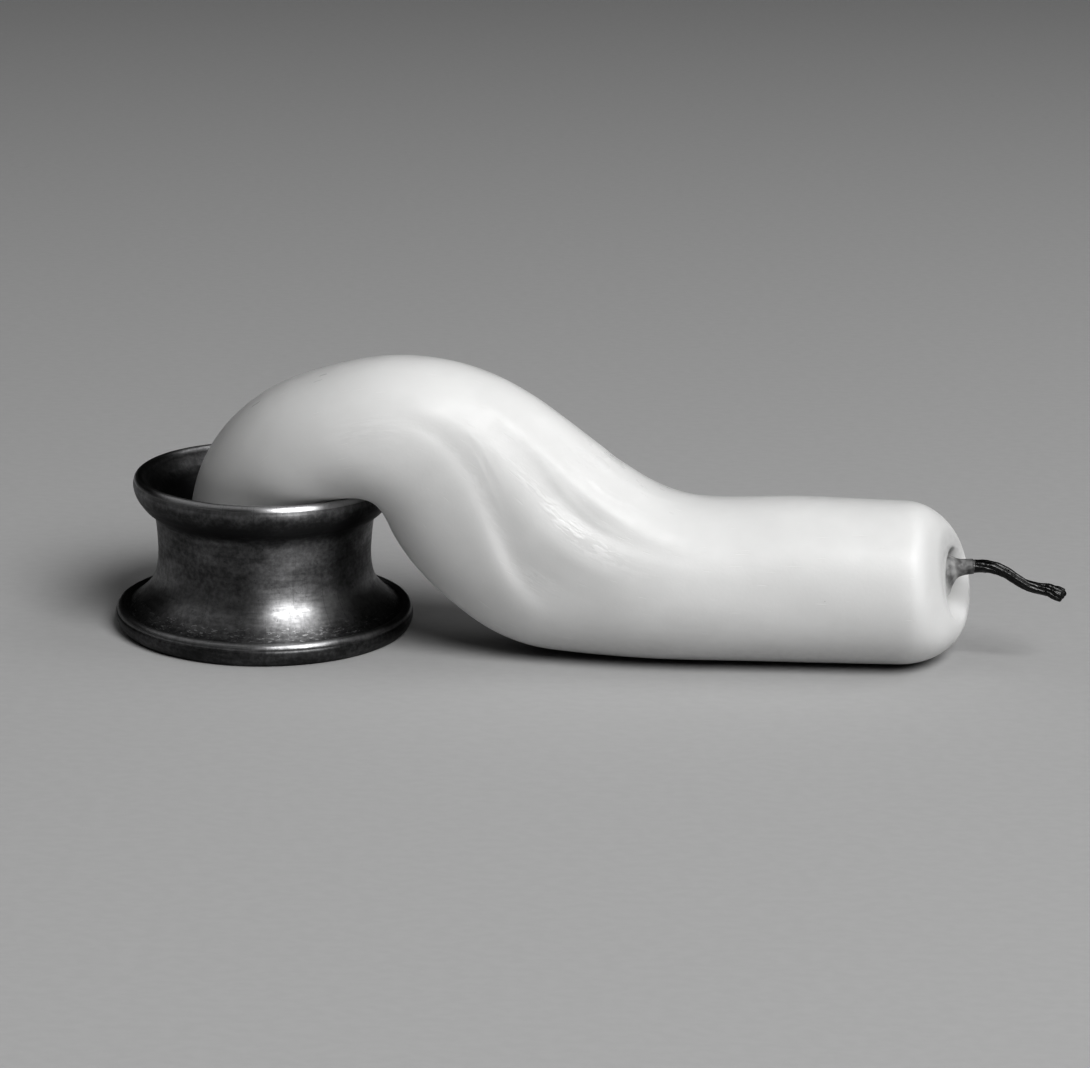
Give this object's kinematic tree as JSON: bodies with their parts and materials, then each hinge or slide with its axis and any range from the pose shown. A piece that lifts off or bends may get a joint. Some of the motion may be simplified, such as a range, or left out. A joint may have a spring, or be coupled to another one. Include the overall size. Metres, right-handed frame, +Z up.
{
  "type": "melted candle in holder",
  "caption": "White candle that softened, arched over the lip of a small dark metal holder and slumped onto the table, with folds in the wax, a melt pool and a charred bent wick.",
  "frame": {"origin": "on the holder's axis, on the flat underside of its foot, at table height", "axes": "+Z up along the holder's axis; the slumped candle points along +X with its wick end; -Y is the side with the folds"},
  "size_m": [0.1255, 0.042, 0.0392],
  "materials": {
    "wax": "white candle wax, translucent, soft gloss, fine scratches, flakes and specks",
    "wick": "braided cotton, wax-soaked grey at its root, charred glossy black beyond",
    "pewter": "dark aged pewter, turned, tarnished, burnished on its lip and foot bead"
  },
  "bodies": {
    "root": {"candle": "wax", "wick": "wick", "holder": "pewter"}
  },
  "joints": []
}
